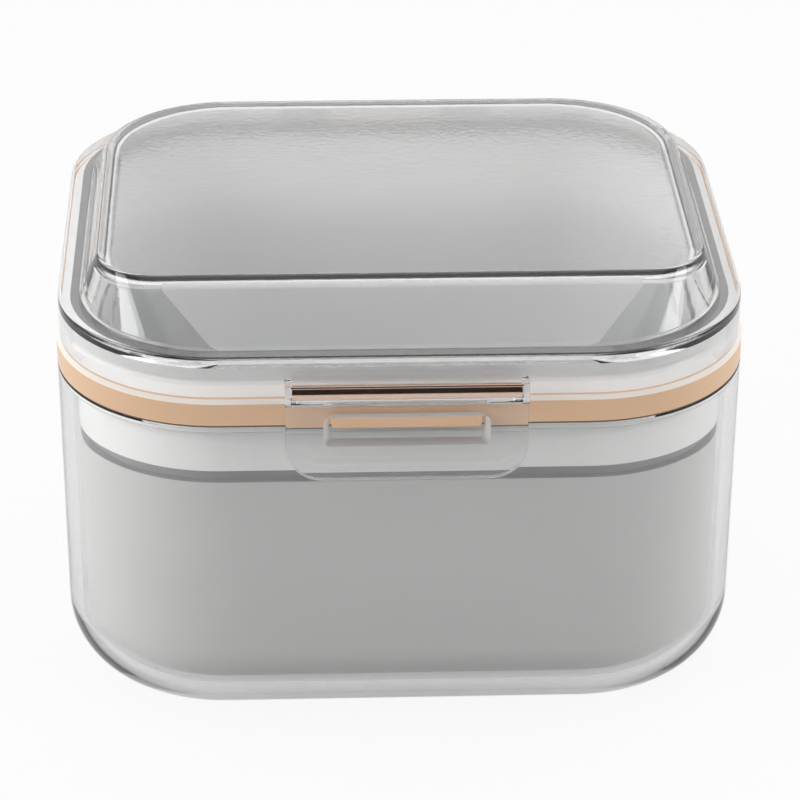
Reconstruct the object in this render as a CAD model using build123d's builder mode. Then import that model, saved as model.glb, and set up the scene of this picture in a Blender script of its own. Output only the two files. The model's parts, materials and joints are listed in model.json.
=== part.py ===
from build123d import *
from math import asin, cos, degrees, hypot, radians, sin
import os

# Retainer case, in millimetres. The origin is the middle of the base, the front faces -Y.
# A clear shell and a grey tub inside it are closed by a ring. A clear lid turns on a pin at the
# back, and a flap that hangs on a bar at the lid's front goes over a rib on the ring.

# Outline seen from above
case_width = 95.0
case_depth = 86.0
corner_radius = 22.7

# Heights of the stacked pieces
shell_height = 47.55
ring_height = 4.1
lid_gap = 0.2
skirt_height = 5.85
slope_height = 6.5

# Clear outer shell
wall_draft = 0.3
shell_wall = 1.8
shell_floor = 2.2
bottom_round = 10.2
rebate_width = 0.9
rebate_depth = 1.0
seam_chamfer = 0.2

# Grey inner tub
tub_gap = 0.8
tub_floor_gap = 1.2
tub_wall = 2.0
tub_floor = 2.0
flange_gap = 0.05
lip_wall = 1.2
lip_rise = 1.9
lip_gap = 0.5
lip_round = 0.4
tub_ledge_drop = 7.35
groove_depth = 1.1
groove_height = 1.7
groove_below_ledge = 0.3

# Ring at the parting line
ring_gap = 0.05
ring_bevel = 0.5

# Lid
skirt_inset = 0.4
skirt_wall = 1.7
skirt_land = 0.4
rim_width = 3.06
side_run = 2.9
front_run = 8.9
lid_wall = 2.0
slope_step = 0.9
top_front_radius = 8.6
top_rear_radius = 17.6
shoulder_round = 0.5
top_edge_round = 0.8

# Seal under the lid's rim
seal_side_gap = 0.05
seal_lip_gap = 0.2
seal_width = 1.8
seal_round = 0.5

# Latch at the front
latch_width = 32.3
latch_drop = 12.87
latch_thickness = 2.0
latch_corner = 5.0
latch_edge_round = 0.4
latch_swing = 100.0
bar_radius = 1.0
bar_gap = 0.08
bar_rise = 1.72
web_thickness = 0.8
hook_wall = 0.8
hook_end_wall = 0.8
hook_end_gap = 0.15
hook_mouth_gap = 0.12
hook_skirt_gap = 0.32
slot_below_hook = 1.39
slot_side_gap = 0.3
slot_top_gap = 0.4
slot_bottom_gap = 1.8
slot_side_flare = 0.8
slot_bottom_flare = 0.2
slot_corner = 0.8
slot_front_corner = 0.2
catch_width = 20.0
catch_height = 1.9
catch_entry = 0.8
catch_corner = 0.5
catch_edge_round = 0.25

# Hinge at the back
hinge_radius = 2.3
hinge_drop = 1.75
hinge_middle_width = 16.9
hinge_side_width = 7.6
hinge_side_gap = 0.3
hinge_face_gap = 0.4
hinge_ring_gap = 0.45
hinge_bridge_gap = 1.0
hinge_neck_inset = 0.3
hinge_block_drop = 0.3
hinge_block_round = 1.6
pin_radius = 1.0
pin_gap = 0.05
pin_end_inset = 0.5
pin_chamfer = 0.2

# Drain basket
basket_gap = 0.8
basket_wall = 1.2
basket_floor = 1.2
basket_foot_gap = 5.0
basket_seat_gap = 0.3
basket_flange = 1.2
basket_flange_gap = 0.35
basket_round = 5.5
drain_hole = 3.2
drain_pitch = 7.0
drain_margin = 8.0
drain_slot_width = 1.8
drain_slot_height = 5.0
drain_slot_rise = 4.0
tab_width = 18.0
tab_height = 7.3
tab_thickness = 1.6
tab_corner = 4.0
tab_slot_width = 10.0
tab_slot_height = 2.6

# Levels that follow
half_width = case_width / 2
half_depth = case_depth / 2
shell_top = shell_height
ring_top = shell_top + ring_height
skirt_bottom = ring_top + lid_gap
rim_level = skirt_bottom + skirt_height
rim_under = rim_level - lid_wall
top_level = rim_level + slope_height
tub_bottom = shell_floor + tub_floor_gap
tub_inside_bottom = tub_bottom + tub_floor
tub_ledge = shell_top - tub_ledge_drop
lip_top = ring_top + lip_rise
basket_bottom = tub_inside_bottom + basket_foot_gap
basket_flange_under = tub_ledge + basket_seat_gap
basket_top = basket_flange_under + basket_flange

# Insets from the case outline that follow
skirt_inner_inset = skirt_inset + skirt_wall
skirt_root_inset = skirt_inset + skirt_land / 2
tub_inset = shell_wall + tub_gap
tub_inner_inset = tub_inset + tub_wall
lip_inset = skirt_inner_inset + lip_gap
lip_inner_inset = lip_inset + lip_wall
basket_inset = tub_inner_inset + basket_gap
basket_inner_inset = basket_inset + basket_wall

# Axis of the latch bar, the flap that hangs on it and the slot under its hook
hook_bore = bar_radius + bar_gap
hook_radius = hook_bore + hook_wall
bar_y = -(half_depth - skirt_inset + hook_skirt_gap + hook_radius)
bar_z = skirt_bottom + bar_rise
flap_front = bar_y - bar_radius
flap_back = flap_front + latch_thickness
flap_bottom = bar_z - latch_drop
slot_top = bar_z - hook_radius - slot_below_hook
slot_height = slot_top_gap + catch_height + slot_bottom_gap
slot_width = catch_width + 2 * slot_side_gap

# Axis of the rear hinge
hinge_y = half_depth + hinge_face_gap + hinge_radius
hinge_z = ring_top - hinge_drop
hinge_bore = pin_radius + pin_gap
hinge_gap_width = hinge_middle_width + 2 * hinge_side_gap
hinge_width = hinge_gap_width + 2 * hinge_side_width


def draft_at(level):
    """How far the case wall has drawn in at a level below the ring."""
    return wall_draft * (1 - level / shell_height)


def outline(inset, level):
    """The case outline, drawn in by an inset, at a level."""
    with BuildSketch(Plane.XY.offset(level)) as sketch:
        RectangleRounded(case_width - 2 * inset, case_depth - 2 * inset, corner_radius - inset)
    return sketch.sketch


def band(outer_inset, inner_inset, level):
    """The strip between two insets of the case outline, at a level."""
    with BuildSketch(Plane.XY.offset(level)) as sketch:
        add(outline(outer_inset, 0))
        add(outline(inner_inset, 0), mode=Mode.SUBTRACT)
    return sketch.sketch


def rounded_block(inset, bottom, top, bottom_radius):
    """A solid that follows the case wall at an inset, with a rounded bottom edge."""
    with BuildPart() as block:
        loft([outline(inset + draft_at(bottom), bottom), outline(inset + draft_at(top), top)])
        fillet(block.faces().sort_by(Axis.Z)[0].edges(), bottom_radius)
    return block.part


def corner_outline(half_x, half_y, front_radius, rear_radius, level):
    """A rounded rectangle whose front and rear corners have their own radii, at a level."""
    front_left = (-half_x + front_radius, -half_y)
    front_right = (half_x - front_radius, -half_y)
    right_front = (half_x, -half_y + front_radius)
    right_rear = (half_x, half_y - rear_radius)
    rear_right = (half_x - rear_radius, half_y)
    rear_left = (-half_x + rear_radius, half_y)
    left_rear = (-half_x, half_y - rear_radius)
    left_front = (-half_x, -half_y + front_radius)
    with BuildSketch(Plane.XY.offset(level)) as sketch:
        with BuildLine():
            Line(front_left, front_right)
            RadiusArc(front_right, right_front, -front_radius)
            Line(right_front, right_rear)
            RadiusArc(right_rear, rear_right, -rear_radius)
            Line(rear_right, rear_left)
            RadiusArc(rear_left, left_rear, -rear_radius)
            Line(left_rear, left_front)
            RadiusArc(left_front, front_left, -front_radius)
        make_face()
    return sketch.sketch


def slope_shift(run):
    """How much further in a sloping wall's inner face lies than its outer face, one wall lower."""
    return lid_wall * (hypot(run, slope_height) - run) / slope_height


# Outer shell: clear, rounded at the bottom, with a rebate inside its top edge
with BuildPart() as outer_shell:
    add(rounded_block(0, 0, shell_top, bottom_round))
    chamfer(outer_shell.faces().sort_by(Axis.Z)[-1].edges(), seam_chamfer)
    cavity = rounded_block(shell_wall, shell_floor, shell_top, bottom_round - shell_wall)
    add(cavity, mode=Mode.SUBTRACT)
    extrude(outline(rebate_width, shell_top - rebate_depth), amount=rebate_depth, mode=Mode.SUBTRACT)
outer_shell.part.label = "outer_shell"

# Inner tub: hangs by its flange in the shell's rebate, and its lip stands above the ring
tub_round = bottom_round - tub_inset
groove_top = tub_ledge - groove_below_ledge
groove_inset = tub_inset + draft_at(groove_top)
with BuildPart() as inner_tub:
    add(rounded_block(tub_inset, tub_bottom, shell_top, tub_round))
    extrude(outline(rebate_width + flange_gap, shell_top - rebate_depth), amount=rebate_depth)
    extrude(outline(lip_inset, shell_top), amount=lip_top - shell_top)
    fillet(inner_tub.faces().sort_by(Axis.Z)[-1].edges(), lip_round)
    tub_space = rounded_block(tub_inner_inset, tub_inside_bottom, tub_ledge, tub_round - tub_wall)
    add(tub_space, mode=Mode.SUBTRACT)
    extrude(outline(lip_inner_inset, tub_ledge), amount=lip_top - tub_ledge, mode=Mode.SUBTRACT)
    groove = band(groove_inset - groove_depth, groove_inset + groove_depth, groove_top - groove_height)
    extrude(groove, amount=groove_height, mode=Mode.SUBTRACT)
inner_tub.part.label = "inner_tub"

# Ring: caps the shell and the tub's flange, with the catch rib in front and a hinge knuckle behind
ring_root = half_depth - ring_bevel
with BuildPart() as ring_band:
    extrude(band(0, lip_inset - ring_gap, shell_top), amount=ring_height)
    chamfer(ring_band.faces().sort_by(Axis.Z)[-1].outer_wire().edges(), ring_bevel)
    chamfer(ring_band.faces().sort_by(Axis.Z)[0].outer_wire().edges(), seam_chamfer)
with BuildPart() as catch_rib:
    with BuildSketch(Plane.XZ.offset(ring_root)):
        with Locations((0, slot_top - slot_top_gap - catch_height / 2)):
            RectangleRounded(catch_width, catch_height, catch_corner)
    extrude(amount=catch_entry - flap_back - ring_root)
    fillet(catch_rib.faces().sort_by(Axis.Y)[0].edges(), catch_edge_round)
with BuildPart() as ring_knuckle:
    neck_bottom = shell_top + hinge_neck_inset
    neck_top = ring_top - hinge_neck_inset
    with BuildSketch(Plane.YZ.offset(-hinge_middle_width / 2)):
        with Locations((hinge_y, hinge_z)):
            Circle(hinge_radius)
        with Locations(((ring_root + hinge_y) / 2, (neck_bottom + neck_top) / 2)):
            Rectangle(hinge_y - ring_root, neck_top - neck_bottom)
        with Locations((hinge_y, hinge_z)):
            Circle(hinge_bore, mode=Mode.SUBTRACT)
    extrude(amount=hinge_middle_width)
with BuildPart() as rim_ring:
    add(ring_band.part)
    add(catch_rib.part)
    add(ring_knuckle.part)
rim_ring.part.label = "rim_ring"

# Lid: skirt, rim and sloping walls up to a flat top, hollow underneath
slope_inset = skirt_inset + rim_width
foot_half_x = half_width - slope_inset
foot_half_y = half_depth - slope_inset
foot_radius = corner_radius - slope_inset
side_shift = slope_shift(side_run)
front_shift = slope_shift(front_run)
with BuildPart() as lid_dome:
    foot_level = rim_level + slope_step
    dome_foot = corner_outline(foot_half_x, foot_half_y, foot_radius, foot_radius, foot_level)
    dome_top = corner_outline(
        foot_half_x - side_run, foot_half_y - front_run, top_front_radius, top_rear_radius, top_level
    )
    loft([dome_foot, dome_top])
    fillet(lid_dome.faces().sort_by(Axis.Z)[-1].edges(), top_edge_round)
    extrude(outline(slope_inset, rim_level), amount=slope_step)
with BuildPart() as lid_hollow:
    hollow_foot = corner_outline(
        foot_half_x - side_shift,
        foot_half_y - front_shift,
        foot_radius - side_shift,
        foot_radius - side_shift,
        rim_under,
    )
    hollow_top = corner_outline(
        foot_half_x - side_run - side_shift,
        foot_half_y - front_run - front_shift,
        top_front_radius - front_shift,
        top_rear_radius - front_shift,
        top_level - lid_wall,
    )
    loft([hollow_foot, hollow_top])

# Hinge block behind the lid: a knuckle either side of the ring's, bridged above it
block_front = half_depth - skirt_root_inset
block_back = hinge_y + hinge_radius
block_top = rim_level - hinge_block_drop
block_bottom = ring_top + hinge_ring_gap
knuckle_front = half_depth + hinge_face_gap
gap_top = hinge_z + hinge_radius + hinge_bridge_gap
gap_bottom = hinge_z - 2 * hinge_radius
with BuildPart() as hinge_block:
    with BuildSketch(Plane.YZ.offset(-hinge_width / 2)):
        with Locations((hinge_y, hinge_z)):
            Circle(hinge_radius)
        with Locations(((knuckle_front + block_back) / 2, (hinge_z + block_top) / 2)):
            Rectangle(block_back - knuckle_front, block_top - hinge_z)
        with Locations(((block_front + block_back) / 2, (block_bottom + block_top) / 2)):
            Rectangle(block_back - block_front, block_top - block_bottom)
        with Locations((hinge_y, hinge_z)):
            Circle(hinge_bore, mode=Mode.SUBTRACT)
    extrude(amount=hinge_width)
    top_edges = hinge_block.edges().filter_by(Axis.X).group_by(Axis.Z)[-1]
    fillet(top_edges.sort_by(Axis.Y)[-1], hinge_block_round)
    with BuildSketch(Plane.YZ.offset(-hinge_gap_width / 2)):
        with Locations((hinge_y, (gap_bottom + gap_top) / 2)):
            Rectangle(2 * (hinge_y - block_front), gap_top - gap_bottom)
    extrude(amount=hinge_gap_width, mode=Mode.SUBTRACT)

bar_length = latch_width - 2 * (hook_end_wall + hook_end_gap)
web_root = -(half_depth - skirt_root_inset)
with BuildPart() as lid_shell:
    extrude(outline(skirt_inset, skirt_bottom), amount=rim_level - skirt_bottom)
    fillet(lid_shell.faces().sort_by(Axis.Z)[-1].edges(), shoulder_round)
    add(lid_dome.part)
    skirt_inside = outline(skirt_inner_inset, skirt_bottom)
    extrude(skirt_inside, amount=rim_under - skirt_bottom, mode=Mode.SUBTRACT)
    bevel_low = outline(skirt_inset + skirt_land, skirt_bottom)
    bevel_high = outline(skirt_inner_inset, skirt_bottom + skirt_wall - skirt_land)
    loft([bevel_low, bevel_high], mode=Mode.SUBTRACT)
    add(lid_hollow.part, mode=Mode.SUBTRACT)
    add(hinge_block.part)
    with BuildSketch(Plane.YZ.offset(-bar_length / 2)):
        with Locations((bar_y, bar_z)):
            Circle(bar_radius)
        with Locations(((bar_y + web_root) / 2, bar_z)):
            Rectangle(web_root - bar_y, web_thickness)
    extrude(amount=bar_length)
lid_shell.part.label = "lid_shell"

# Seal: a soft band that fits inside the skirt, under the rim
seal_bottom = lip_top + seal_lip_gap
seal_inset = skirt_inner_inset + seal_side_gap
with BuildPart() as lid_seal:
    extrude(band(seal_inset, seal_inset + seal_width, seal_bottom), amount=rim_under - seal_bottom)
    fillet(lid_seal.faces().sort_by(Axis.Z)[0].edges(), seal_round)
lid_seal.part.label = "lid_seal"

# Latch: a flap whose top edge hooks round the lid's bar. The hook's mouth stays clear of the bar's
# web over the whole swing, and a wall as tall as the hook's lip closes each end. The slot widens
# towards the front.
mouth_margin = degrees(asin((web_thickness / 2 + hook_mouth_gap) / hook_bore))
mouth_angles = (-mouth_margin, latch_swing / 2, latch_swing + mouth_margin)
mouth_reach = 3 * hook_radius
flap_top = bar_z - bar_radius
hook_lip_rise = hook_radius * sin(radians(latch_swing + mouth_margin))
with BuildPart() as latch_slot:
    with BuildSketch(Plane.XZ.offset(-flap_back)):
        with Locations((0, slot_top - slot_height / 2)):
            RectangleRounded(slot_width, slot_height, slot_corner)
    with BuildSketch(Plane.XZ.offset(-flap_front)):
        with Locations((0, slot_top - (slot_height + slot_bottom_flare) / 2)):
            RectangleRounded(
                slot_width + 2 * slot_side_flare, slot_height + slot_bottom_flare, slot_front_corner
            )
    loft()
with BuildPart() as front_latch:
    with BuildSketch(Plane.XZ.offset(-flap_back)):
        with Locations((0, (flap_bottom + flap_top) / 2)):
            flap = Rectangle(latch_width, flap_top - flap_bottom)
        fillet(flap.vertices().group_by(Axis.Y)[0], latch_corner)
    extrude(amount=latch_thickness)
    front_edges = front_latch.faces().sort_by(Axis.Y)[0].edges()
    fillet(front_edges.sort_by(Axis.Z)[:-1], latch_edge_round)
    with BuildSketch(Plane.YZ.offset(-latch_width / 2)):
        with Locations((bar_y, bar_z)):
            Circle(hook_radius)
        with Locations((bar_y, bar_z + hook_lip_rise + hook_radius / 2)):
            Rectangle(2 * hook_radius, hook_radius, mode=Mode.SUBTRACT)
    extrude(amount=latch_width)
    with BuildSketch(Plane.YZ.offset(-latch_width / 2 + hook_end_wall)):
        with Locations((bar_y, bar_z)):
            Circle(hook_bore)
        with BuildLine():
            mouth_corners = [
                (bar_y + mouth_reach * cos(radians(angle)), bar_z + mouth_reach * sin(radians(angle)))
                for angle in mouth_angles
            ]
            Polyline((bar_y, bar_z), *mouth_corners, close=True)
        make_face()
    extrude(amount=latch_width - 2 * hook_end_wall, mode=Mode.SUBTRACT)
    add(latch_slot.part, mode=Mode.SUBTRACT)
front_latch.part.label = "front_latch"

# Hinge pin
pin_length = hinge_width - 2 * pin_end_inset
with BuildPart() as hinge_pin:
    with BuildSketch(Plane.YZ.offset(-pin_length / 2)):
        with Locations((hinge_y, hinge_z)):
            Circle(pin_radius)
    extrude(amount=pin_length)
    chamfer(hinge_pin.edges(), pin_chamfer)
hinge_pin.part.label = "hinge_pin"

# Drain basket: rests by its flange on the tub's ledge, with holes in its floor, slots in its sides
# and a finger tab at each side
tab_foot = basket_top - basket_flange
with BuildPart() as finger_tabs:
    with BuildSketch(Plane.YZ.offset(half_width - basket_inner_inset)):
        with Locations((0, tab_foot + (tab_height + basket_flange) / 2)):
            tab = Rectangle(tab_width, tab_height + basket_flange)
        fillet(tab.vertices().group_by(Axis.Y)[-1], tab_corner)
        with Locations((0, basket_top + tab_height / 2)):
            SlotOverall(tab_slot_width, tab_slot_height, mode=Mode.SUBTRACT)
    extrude(amount=tab_thickness)
    mirror(about=Plane.YZ)

floor_inset = basket_inset + basket_round + drain_margin
half_columns = int((half_width - floor_inset) // drain_pitch)
half_rows = int((half_depth - floor_inset) // drain_pitch)
side_slots = int((case_depth - 2 * corner_radius) // drain_pitch)
slot_middle = basket_bottom + basket_round + drain_slot_rise + drain_slot_height / 2
basket_hollow_bottom = basket_bottom + basket_floor
with BuildPart() as drain_basket:
    add(rounded_block(basket_inset, basket_bottom, basket_top, basket_round))
    extrude(outline(lip_inner_inset + basket_flange_gap, basket_flange_under), amount=basket_flange)
    add(finger_tabs.part)
    basket_space = rounded_block(
        basket_inner_inset, basket_hollow_bottom, basket_top, basket_round - basket_floor
    )
    add(basket_space, mode=Mode.SUBTRACT)
    with BuildSketch(Plane.XY.offset(basket_bottom)):
        with GridLocations(drain_pitch, drain_pitch, 2 * half_columns + 1, 2 * half_rows + 1):
            Circle(drain_hole / 2)
    extrude(amount=basket_floor, mode=Mode.SUBTRACT)
    with BuildSketch(Plane.YZ):
        with Locations((0, slot_middle)):
            with GridLocations(drain_pitch, drain_pitch, side_slots, 1):
                SlotOverall(drain_slot_height, drain_slot_width, rotation=90)
    extrude(amount=half_width, both=True, mode=Mode.SUBTRACT)
drain_basket.part.label = "drain_basket"

os.makedirs("parts", exist_ok=True)
pieces = (outer_shell, inner_tub, rim_ring, lid_shell, lid_seal, front_latch, hinge_pin, drain_basket)
for piece in pieces:
    export_step(piece.part, f"parts/{piece.part.label}.step")
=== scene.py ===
import json
from math import asin, cos, hypot, pi, radians, sin

import bmesh
import bpy
from mathutils import Matrix, Vector


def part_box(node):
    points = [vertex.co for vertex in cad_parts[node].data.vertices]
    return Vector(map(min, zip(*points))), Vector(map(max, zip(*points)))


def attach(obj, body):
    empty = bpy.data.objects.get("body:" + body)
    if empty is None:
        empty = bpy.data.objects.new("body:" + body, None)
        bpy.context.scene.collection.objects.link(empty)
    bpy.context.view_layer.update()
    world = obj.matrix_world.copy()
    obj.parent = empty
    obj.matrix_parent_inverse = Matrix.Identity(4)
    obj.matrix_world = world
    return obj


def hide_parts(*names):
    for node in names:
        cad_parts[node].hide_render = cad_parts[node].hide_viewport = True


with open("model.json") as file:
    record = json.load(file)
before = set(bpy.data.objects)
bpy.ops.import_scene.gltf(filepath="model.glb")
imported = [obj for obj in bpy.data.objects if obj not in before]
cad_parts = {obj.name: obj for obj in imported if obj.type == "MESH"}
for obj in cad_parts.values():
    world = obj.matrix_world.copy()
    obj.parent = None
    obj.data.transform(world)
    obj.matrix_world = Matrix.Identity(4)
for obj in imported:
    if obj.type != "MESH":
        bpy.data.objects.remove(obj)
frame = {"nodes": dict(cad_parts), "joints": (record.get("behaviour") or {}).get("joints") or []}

bl_info = {
    "name": "Retainer case",
    "version": (1, 0, 0),
    "blender": (4, 5, 0),
    "location": "View3D > Sidebar > Retainer case",
    "description": "Adds a clear retainer case with a grey tub, a beige ring and a front flap latch",
    "category": "Add Mesh",
}

MM = 0.001
CORNER_STEPS = 24
SHARP_ANGLE = radians(35)
PIN_BORE_RADIUS = 1.05 * MM
BAR_RADIUS = 1.0 * MM
BAR_HALF_WEB = 0.4 * MM
SKIRT_INSET = 0.4 * MM
# Places in the lid's and the latch's lists of materials, each of which starts with the polished plastic.
FROSTED, PLATED, SATIN, HAZY = 1, 2, 3, 4
SHADED = 1
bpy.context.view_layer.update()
SHELL_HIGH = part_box("outer_shell")[1]
TUB_LOW, TUB_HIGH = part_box("inner_tub")
RING_LOW, RING_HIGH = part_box("rim_ring")
LID_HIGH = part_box("lid_shell")[1]
SEAL_LOW, SEAL_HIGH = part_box("lid_seal")
LATCH_LOW, LATCH_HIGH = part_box("front_latch")
BASKET_LOW, BASKET_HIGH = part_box("drain_basket")
PIVOTS = {joint["name"]: Vector(joint.get("pos_m") or (0, 0, 0)) for joint in frame["joints"]}


def linear(hex_code):
    """The linear colour, with alpha, of an sRGB hex code."""
    channels = [int(hex_code[at : at + 2], 16) / 255 for at in (1, 3, 5)]
    return [c / 12.92 if c <= 0.04045 else ((c + 0.055) / 1.055) ** 2.4 for c in channels] + [1.0]


def length(name, description, millimetres):
    return bpy.props.FloatProperty(
        name=name, description=description, default=millimetres * MM, min=0.0, subtype="DISTANCE", precision=5
    )


def colour(name, description, hex_code):
    return bpy.props.FloatVectorProperty(
        name=name, description=description, default=linear(hex_code), size=4, min=0.0, max=1.0,
        subtype="COLOR",
    )


class RetainerCaseSizes(bpy.types.PropertyGroup):
    case_width: length("Case width", "Across the ring from left to right", 95.0)
    case_depth: length("Case depth", "Across the ring from front to back, without latch and hinge", 86.0)
    corner_radius: length("Corner radius", "Of the outline seen from above", 22.7)
    shell_wall: length("Shell wall", "Thickness of the clear outer shell", 1.8)
    shell_floor: length("Shell floor", "Thickness of the clear shell under the tub", 2.2)
    wall_draft: length("Wall draft", "How far the walls draw in down to the base", 0.3)
    bottom_round: length("Bottom rounding", "Of the shell's bottom edge", 10.2)
    tub_gap: length("Tub gap", "Between the shell and the tub", 0.8)
    tub_wall: length("Tub wall", "Thickness of the grey tub", 2.0)
    tub_ledge_drop: length("Ledge drop", "From the shell's top edge to the tub's ledge", 7.35)
    ring_height: length("Ring height", "Of the beige ring", 4.1)
    lid_gap: length("Lid gap", "Between the ring and the lid's skirt", 0.2)
    skirt_height: length("Skirt height", "Of the lid's upright skirt", 5.85)
    rim_width: length("Rim width", "Of the lid's flat rim", 3.06)
    side_run: length("Side slope run", "How far the lid's sides lean in, less the top's margin", 2.9)
    front_run: length("Front slope run", "How far the lid's front and back lean in", 8.9)
    lid_wall: length("Lid wall", "Thickness of the lid", 2.0)
    latch_thickness: length("Latch thickness", "Of the clear flap", 2.0)
    latch_corner: length("Latch corner", "Radius of the flap's lower corners", 5.0)
    drain_hole: length("Drain hole", "Diameter of a hole in the basket's floor", 3.2)
    drain_pitch: length("Drain pitch", "Between the middles of two holes", 7.0)


class RetainerCaseColours(bpy.types.PropertyGroup):
    clear: colour("Clear plastic", "Tint of the shell, lid and latch", "#F7F7F7")
    tub: colour("Tub", "Satin grey of the inner tub", "#CBCBCA")
    ring: colour("Ring", "Beige of the ring at the parting line", "#E5BE9A")
    # The seal's grey silicone is darkened as painted shade of the gap under the lid's rim.
    seal: colour("Seal", "Grey silicone of the gasket", "#6E6E6D")
    basket: colour("Basket", "Light grey of the drain basket", "#D6D7D7")
    plate: colour("Plate", "Rose gold plate on the latch's bar", "#E3C3B0")
    steel: colour("Steel", "Drawn steel of the hinge pin", "#B9B9BA")
    floor: colour("Floor", "Floor that the case stands on", "#EFEFEF")


class RetainerCaseStage(bpy.types.PropertyGroup):
    azimuth: bpy.props.FloatProperty(
        name="Camera azimuth", description="To the left of straight ahead", default=radians(2.35),
        subtype="ANGLE",
    )
    elevation: bpy.props.FloatProperty(
        name="Camera elevation", description="Above the horizon", default=radians(27.41), subtype="ANGLE"
    )
    roll: bpy.props.FloatProperty(
        name="Camera roll", description="Anticlockwise about its view", default=radians(0.29), subtype="ANGLE"
    )
    distance: length("Camera distance", "From the point it is aimed at", 491.85)
    lens: bpy.props.FloatProperty(
        name="Lens", description="Focal length of the camera", default=150.68, unit="CAMERA"
    )
    side_light: bpy.props.FloatProperty(
        name="Side light", description="Power of the left softbox, which the right one has a share of",
        default=2.3, unit="POWER",
    )
    top_light: bpy.props.FloatProperty(
        name="Top light", description="Power of the softbox above the case", default=1.3, unit="POWER"
    )


def add_loop(bm, half_x, half_y, front_radius, rear_radius, level):
    """The edges of a rounded rectangle at a level, whose front and rear corners have their own radii."""
    known_edges, known_faces = set(bm.edges), set(bm.faces)
    corners = bmesh.ops.create_grid(bm, x_segments=1, y_segments=1, size=1.0)["verts"]
    bmesh.ops.scale(bm, vec=(half_x, half_y, 1.0), verts=corners)
    bmesh.ops.translate(bm, vec=(0, 0, level), verts=corners)
    front = [v for v in corners if v.co.y < 0]
    rear = [v for v in corners if v.co.y > 0]
    for verts, radius in ((front, front_radius), (rear, rear_radius)):
        bmesh.ops.bevel(
            bm, geom=verts, offset=radius, offset_type="OFFSET", segments=CORNER_STEPS, profile=0.5,
            affect="VERTICES", material=-1,
        )
    face = [f for f in bm.faces if f not in known_faces]
    bmesh.ops.delete(bm, geom=face, context="FACES_ONLY")
    made = [e for e in bm.edges if e not in known_edges]
    straight = [e for e in made if e.calc_length() > half_x / 4]
    bmesh.ops.subdivide_edges(bm, edges=straight, cuts=9)
    return [e for e in bm.edges if e not in known_edges]


def stack(bm, outlines, closed=False):
    """Skin over a stack of outlines, each given as add_loop's values, and cap it or close it to a ring.

    The outlines stand well apart while they are bridged, because two in one plane can be joined crosswise.
    """
    apart = 10 * MM
    loops = [add_loop(bm, *outline[:4], step * apart) for step, outline in enumerate(outlines)]
    for here, following in zip(loops, loops[1:] + loops[:1] if closed else loops[1:]):
        bmesh.ops.bridge_loops(bm, edges=here + following)
    for step, (loop, outline) in enumerate(zip(loops, outlines)):
        verts = {vert for edge in loop for vert in edge.verts}
        bmesh.ops.translate(bm, vec=(0, 0, outline[4] - step * apart), verts=list(verts))
    if not closed:
        for end in (loops[0], loops[-1]):
            bmesh.ops.contextual_create(bm, geom=end)
    return loops


def round_edges(bm, edges, radius, steps):
    bmesh.ops.bevel(
        bm, geom=edges, offset=radius, offset_type="OFFSET", segments=steps, profile=0.5, affect="EDGES",
        material=-1,
    )


def rectangle(left, right, low, high):
    """The four corners of a rectangle, in order round it."""
    return (left, low), (right, low), (right, high), (left, high)


def verts_of(geometry):
    return [item for item in geometry if isinstance(item, bmesh.types.BMVert)]


def add_slab(bm, corners, thickness):
    """A slab from its corner points, each with the radius it is rounded by, thickened along a vector.

    Two radii on one side have to add up to less than its length, because arcs that met would double a
    point.
    """
    known = set(bm.faces)
    verts = [bm.verts.new(point) for point, radius in corners]
    bm.faces.new(verts)
    for vert, (point, radius) in zip(verts, corners):
        if radius:
            bmesh.ops.bevel(
                bm, geom=[vert], offset=radius, offset_type="OFFSET", segments=CORNER_STEPS // 2, profile=0.5,
                affect="VERTICES", material=-1,
            )
    face = [f for f in bm.faces if f not in known]
    grown = bmesh.ops.extrude_face_region(bm, geom=face)["geom"]
    bmesh.ops.translate(bm, vec=thickness, verts=verts_of(grown))
    bmesh.ops.recalc_face_normals(bm, faces=[f for f in bm.faces if f not in known])
    return [f for f in grown if isinstance(f, bmesh.types.BMFace)][0]


def add_rod(bm, radius, start, end, steps=48):
    """A round rod between two points."""
    along = end - start
    turn = along.to_track_quat("Z", "Y").to_matrix().to_4x4()
    place = Matrix.Translation((start + end) / 2) @ turn
    bmesh.ops.create_cone(
        bm, cap_ends=True, segments=steps, radius1=radius, radius2=radius, depth=along.length, matrix=place
    )


def combine(bm, other, operation):
    """Join another closed mesh to this one, or cut it away, with an exact Boolean."""
    halves = []
    for source in (bm, other):
        bmesh.ops.recalc_face_normals(source, faces=source.faces)
        mesh = bpy.data.meshes.new("half")
        source.to_mesh(mesh)
        halves.append(bpy.data.objects.new("half", mesh))
        bpy.context.scene.collection.objects.link(halves[-1])
    boolean = halves[0].modifiers.new("combine", "BOOLEAN")
    boolean.operation = operation
    boolean.solver = "EXACT"
    boolean.object = halves[1]
    evaluated = halves[0].evaluated_get(bpy.context.evaluated_depsgraph_get())
    result = bpy.data.meshes.new_from_object(evaluated)
    bm.clear()
    bm.from_mesh(result)
    other.free()
    for mesh in [half.data for half in halves] + [result]:
        bpy.data.meshes.remove(mesh)


def flatten_caps(bm):
    """Give each large flat face a narrow border, so that smooth shading leaves its middle flat."""
    caps = [f for f in bm.faces if len(f.verts) > 4 * CORNER_STEPS]
    bmesh.ops.inset_individual(bm, faces=caps, thickness=0.15 * MM, use_even_offset=True)


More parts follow.
